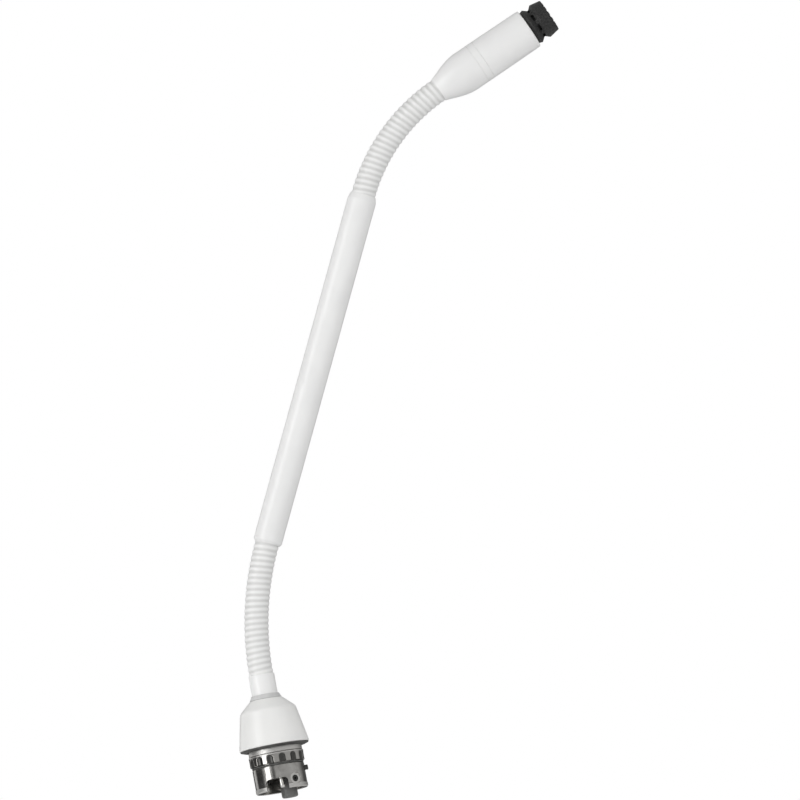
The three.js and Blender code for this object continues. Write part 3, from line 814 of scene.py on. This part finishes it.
def head():
    tail_end, ring_start = JOINT_BOTTOM - JOINT_GAP, JOINT_BOTTOM + JOINT_GAP
    ring_end, housing_start = JOINT_TOP - JOINT_GAP, JOINT_TOP + JOINT_GAP
    curve = [(TAIL_START_RADIUS, 0, 0.12)]
    curve += [(tail_radius(TAIL_CURVE * i / TAIL_STEPS), TAIL_CURVE * i / TAIL_STEPS, 0)
              for i in range(1, TAIL_STEPS + 1)]
    turned("head_tail", [
        (3.1, 0, 0.05), *curve, (HEAD_RADIUS, tail_end, JOINT_FILLET), (HEAD_BORE, tail_end, 0),
        (HEAD_BORE, 9.6, 0), (4.6, 9.6, 0), (4.6, 6.6, 0), (3.1, 6.6, 0),
    ], "white_paint", "head", HEAD_START, 128)
    turned("joint_ring", [
        (HEAD_BORE, ring_start, 0), (HEAD_RADIUS, ring_start, JOINT_FILLET),
        (HEAD_RADIUS, ring_end, JOINT_FILLET), (HEAD_BORE, ring_end, 0),
    ], "white_paint", "head", HEAD_START, 128)
    turned("capsule_housing", [
        (HEAD_BORE, housing_start, 0), (HEAD_RADIUS, housing_start, JOINT_FILLET),
        (6.15, HEAD_LENGTH, 0.55), (5.5, HEAD_LENGTH, 0.1), (5.5, 20, 0), (HEAD_BORE, 20, 0),
    ], "white_paint", "head", HEAD_START, 128)


SLOTS = 8
SLOT_PHASE = 25.6
NOTCHES = 16


def capsule_cap():
    """The cap with its V-shaped neck, the slots in the neck and the fine notches in its front rim."""
    base, front = HEAD_LENGTH, HEAD_LENGTH + CAP_LENGTH
    verts, faces = revolve(rounded([
        (3.7, base - 1.2, 0), (5.4, base - 1.2, 0.1), (5.4, base - 0.25, 0.05),
        (5.1, base - 0.25, 0), (5.1, base + 0.05, 0), (5.2, base + 0.05, 0.1),
        (5.58, base + 1.2, 0.25), (4.42, base + 2.6, 0.35), (5.58, base + 3.9, 0.25),
        (5.02, front, 0.2), (4.3, front, 0.1), (4.3, front - 1.3, 0), (3.7, front - 1.3, 0),
    ]), 160)
    cap = mesh_object("fine_capsule_cap", verts, faces, HEAD_START)
    cutters = []
    for i in range(SLOTS):
        matrix = radial_matrix(SLOT_PHASE + 360 / SLOTS * i, base + 2.6, HEAD_START)
        cutters.append(slab_cutter(2.1, 0.8, 0.3, 3, 8, matrix))
    for i in range(NOTCHES):
        matrix = radial_matrix(360 / NOTCHES * (i + 0.5), front, HEAD_START)
        cutters.append(slab_cutter(0.85, 0.3, 0.1, 3.6, 8, matrix))
    carve(cap, cutters)
    soften(cap, 0.05, 1)
    finish_piece(cap, "black_plastic", "head", ["capsule_cap"])


def front_grille():
    """Round punched plate with rings of round holes, and the foam disc behind it."""
    radius, hole, hole_pitch, hole_rings, half_thickness = 4.2, 0.28, 0.88, 4, 0.2
    back = HEAD_LENGTH + CAP_LENGTH - 1.25
    curve = bpy.data.curves.new("grille", "CURVE")
    curve.dimensions = "2D"
    curve.fill_mode = "BOTH"
    circles = [(0, 0, radius, 72), (0, 0, hole, 14)]
    for ring in range(1, hole_rings + 1):
        count = 6 * ring
        for i in range(count):
            a = 2 * math.pi * (i + 0.5 * (ring % 2)) / count
            out = hole_pitch * ring
            circles.append((out * math.cos(a), out * math.sin(a), hole, 14))
    for x, y, radius, steps in circles:
        spline = curve.splines.new("POLY")
        spline.points.add(steps - 1)
        spline.use_cyclic_u = True
        for j, point in enumerate(spline.points):
            a = 2 * math.pi * j / steps
            point.co = ((x + radius * math.cos(a)) * MM, (y + radius * math.sin(a)) * MM, 0, 1)
    curve.extrude = half_thickness * MM
    flat = bpy.data.objects.new("grille_outline", curve)
    bpy.context.scene.collection.objects.link(flat)
    bpy.context.view_layer.update()
    graph = bpy.context.evaluated_depsgraph_get()
    mesh = bpy.data.meshes.new_from_object(flat.evaluated_get(graph))
    bpy.data.objects.remove(flat)
    mesh.transform(Matrix.Translation((0, 0, (back + half_thickness) * MM)))
    grille = bpy.data.objects.new("fine_front_grille", mesh)
    bpy.context.scene.collection.objects.link(grille)
    weld = grille.modifiers.new("weld", "WELD")
    weld.merge_threshold = 1e-7
    apply_modifiers(grille)
    grille.matrix_world = matrix_at(HEAD_START)
    finish_piece(grille, "black_plastic", "head", ["front_grille"])
    turned("foam_disc", [
        (0, 31.2, 0), (3.6, 31.2, 0.3), (3.6, back - 0.15, 0.4), (0, back - 0.15, 0),
    ], "foam", "head", HEAD_START, 64)


plug_shell()
lock_ring()
plug_small_parts()
contact_insert()
foot()
flexible_length("lower", LOWER_START, LOWER_BEND)
rigid_tube()
flexible_length("upper", TUBE_END, UPPER_BEND)
straight_cables()
head()
capsule_cap()
front_grille()

# ---- Studio: the camera in millimetres, the floor and the lights in metres ----

CAMERA_TARGET = (54.48, 0, 93.6)
VIEW_WIDTH = 234.6  # width of the picture where the object stands
LENS = 800
SENSOR = 36
ELEVATION = math.radians(-5.5)
ROLL = math.radians(10.4)
CLIP_END = 20  # metres
FLOOR_RADIUS = 4
FLOOR_HEIGHT = -0.6
LIGHTS_TARGET = (0.05, 0, 0.08)


def camera():
    """A long lens looking along +Y, a little from below, and rolled so that +Z leans left."""
    data = bpy.data.cameras.new("camera")
    data.lens = LENS
    data.sensor_width = SENSOR
    data.clip_end = CLIP_END
    made = bpy.data.objects.new("camera", data)
    bpy.context.scene.collection.objects.link(made)
    back = Vector((0, -math.cos(ELEVATION), math.sin(ELEVATION)))
    across = Vector((1, 0, 0))
    upward = back.cross(across)
    right = across * math.cos(ROLL) - upward * math.sin(ROLL)
    up = across * math.sin(ROLL) + upward * math.cos(ROLL)
    distance = VIEW_WIDTH * LENS / SENSOR
    turn = Matrix((right, up, back)).transposed().to_4x4()
    centre = Vector(CAMERA_TARGET) + back * distance
    made.matrix_world = Matrix.Translation(centre * MM) @ turn
    bpy.context.scene.camera = made


def floor():
    """A pale floor well below the plug, which fades into the backdrop and is clear from underneath."""
    verts = [(FLOOR_RADIUS * math.cos(a), FLOOR_RADIUS * math.sin(a), FLOOR_HEIGHT)
             for a in np.linspace(0, 2 * math.pi, 96, False)]
    ground = mesh_object("floor", verts, [tuple(range(len(verts)))])
    pale = Finish("pale_floor", (0.7, 0.7, 0.7), 0.7)
    away = pale.node("ShaderNodeVectorMath", operation="LENGTH")
    pale.link(pale.place, away.inputs[0])
    fade = pale.node("ShaderNodeMapRange", interpolation_type="SMOOTHSTEP")
    for socket, value in (("From Min", 0.9), ("From Max", 3.6), ("To Min", 0.42), ("To Max", 0.72)):
        fade.inputs[socket].default_value = value
    pale.link(away.outputs["Value"], fade.inputs["Value"])
    seen = pale.node("ShaderNodeMath", operation="MULTIPLY")
    pale.link(fade.outputs["Result"], seen.inputs[0])
    pale.link(pale.node("ShaderNodeLightPath").outputs["Is Camera Ray"], seen.inputs[1])
    glow = pale.node("ShaderNodeEmission")
    pale.link(seen.outputs["Value"], glow.inputs["Strength"])
    lit = pale.node("ShaderNodeAddShader")
    pale.link(pale.shader.outputs["BSDF"], lit.inputs[0])
    pale.link(glow.outputs["Emission"], lit.inputs[1])
    mix = pale.node("ShaderNodeMixShader")
    pale.link(pale.node("ShaderNodeNewGeometry").outputs["Backfacing"], mix.inputs["Fac"])
    pale.link(lit.outputs["Shader"], mix.inputs[1])
    pale.link(pale.node("ShaderNodeBsdfTransparent").outputs["BSDF"], mix.inputs[2])
    pale.link(mix.outputs["Shader"], pale.tree.nodes["Material Output"].inputs["Surface"])
    ground.data.materials.append(pale.material)


# Brightness of the room's walls by direction: the share of the turn from straight behind the object
# round by the left, the camera and the right, and the level there
WALLS = (
    (0.00, 0.05), (0.085, 0.06), (0.105, 0.80), (0.15, 0.85), (0.17, 0.07), (0.28, 0.07), (0.31, 0.50),
    (0.41, 0.50), (0.425, 0.12), (0.445, 0.12), (0.46, 0.54), (0.60, 0.56), (0.78, 0.58), (0.86, 0.10),
    (1.0, 0.15),
)
CEILING = 0.47  # level above and below the walls
WALL_TOP = 0.38  # sine of the elevation where the walls begin to turn into the ceiling
WALL_END = 0.62


def room_light():
    """A white backdrop, and a room whose walls a polished part mirrors as upright bands."""
    world = bpy.data.worlds.new("studio")
    bpy.context.scene.world = world
    world.use_nodes = True
    tree = world.node_tree

    def node(kind, **settings):
        made = tree.nodes.new(kind)
        for key, value in settings.items():
            setattr(made, key, value)
        return made

    axes = node("ShaderNodeSeparateXYZ")
    tree.links.new(node("ShaderNodeTexCoord").outputs["Generated"], axes.inputs["Vector"])
    to_back = node("ShaderNodeMath", operation="MULTIPLY")
    to_back.inputs[1].default_value = -1
    tree.links.new(axes.outputs["Y"], to_back.inputs[0])
    angle = node("ShaderNodeMath", operation="ARCTAN2")
    tree.links.new(axes.outputs["X"], angle.inputs[0])
    tree.links.new(to_back.outputs["Value"], angle.inputs[1])
    share = node("ShaderNodeMapRange")
    share.inputs["From Min"].default_value = -math.pi
    share.inputs["From Max"].default_value = math.pi
    tree.links.new(angle.outputs["Value"], share.inputs["Value"])
    walls = node("ShaderNodeValToRGB")
    elements = walls.color_ramp.elements
    while len(elements) < len(WALLS):
        elements.new(0.5)
    for element, (position, level) in zip(elements, WALLS):
        element.position = position
        element.color = (level, level, level, 1)
    tree.links.new(share.outputs["Result"], walls.inputs["Fac"])
    slope = node("ShaderNodeMath", operation="ABSOLUTE")
    tree.links.new(axes.outputs["Z"], slope.inputs[0])
    height = node("ShaderNodeMapRange", interpolation_type="SMOOTHSTEP")
    height.inputs["From Min"].default_value = WALL_TOP
    height.inputs["From Max"].default_value = WALL_END
    tree.links.new(slope.outputs["Value"], height.inputs["Value"])
    room = node("ShaderNodeMixRGB")
    room.inputs["Color2"].default_value = (CEILING, CEILING, CEILING, 1)
    tree.links.new(height.outputs["Result"], room.inputs["Fac"])
    tree.links.new(walls.outputs["Color"], room.inputs["Color1"])
    tree.links.new(room.outputs["Color"], tree.nodes["Background"].inputs["Color"])
    backdrop = node("ShaderNodeBackground")
    backdrop.inputs["Color"].default_value = (1, 1, 1, 1)
    choice = node("ShaderNodeMixShader")
    tree.links.new(node("ShaderNodeLightPath").outputs["Is Camera Ray"], choice.inputs["Fac"])
    tree.links.new(tree.nodes["Background"].outputs["Background"], choice.inputs[1])
    tree.links.new(backdrop.outputs["Background"], choice.inputs[2])
    tree.links.new(choice.outputs["Shader"], tree.nodes["World Output"].inputs["Surface"])


def softbox(name, azimuth, elevation, distance, width, height, power, mirrored=True):
    """An area light aimed at the object from an azimuth measured from the camera to its right."""
    light = bpy.data.lights.new(name, "AREA")
    light.shape = "RECTANGLE"
    light.size = width
    light.size_y = height
    light.energy = power
    a, e = math.radians(azimuth), math.radians(elevation)
    aim = Vector((math.sin(a) * math.cos(e), -math.cos(a) * math.cos(e), math.sin(e)))
    made = bpy.data.objects.new(name, light)
    made.visible_camera = False
    made.visible_glossy = mirrored
    bpy.context.scene.collection.objects.link(made)
    turn = aim.to_track_quat("Z", "Y").to_matrix().to_4x4()
    made.matrix_world = Matrix.Translation(Vector(LIGHTS_TARGET) + aim * distance) @ turn


camera()
floor()
room_light()
softbox("key", -52, 6, 1.2, 0.44, 1.3, 5.3)
softbox("left_fill", -52, 2, 1.5, 1.2, 1.2, 5.3, mirrored=False)
softbox("right_fill", 58, 3, 1.5, 1.2, 1.2, 7.6, mirrored=False)
softbox("top_fill", -10, 76, 1.5, 1.2, 1.2, 1.3, mirrored=False)
softbox("back_fill", 180, 12, 1.5, 1.2, 1.2, 7, mirrored=False)
bpy.context.scene.view_settings.view_transform = "Standard"
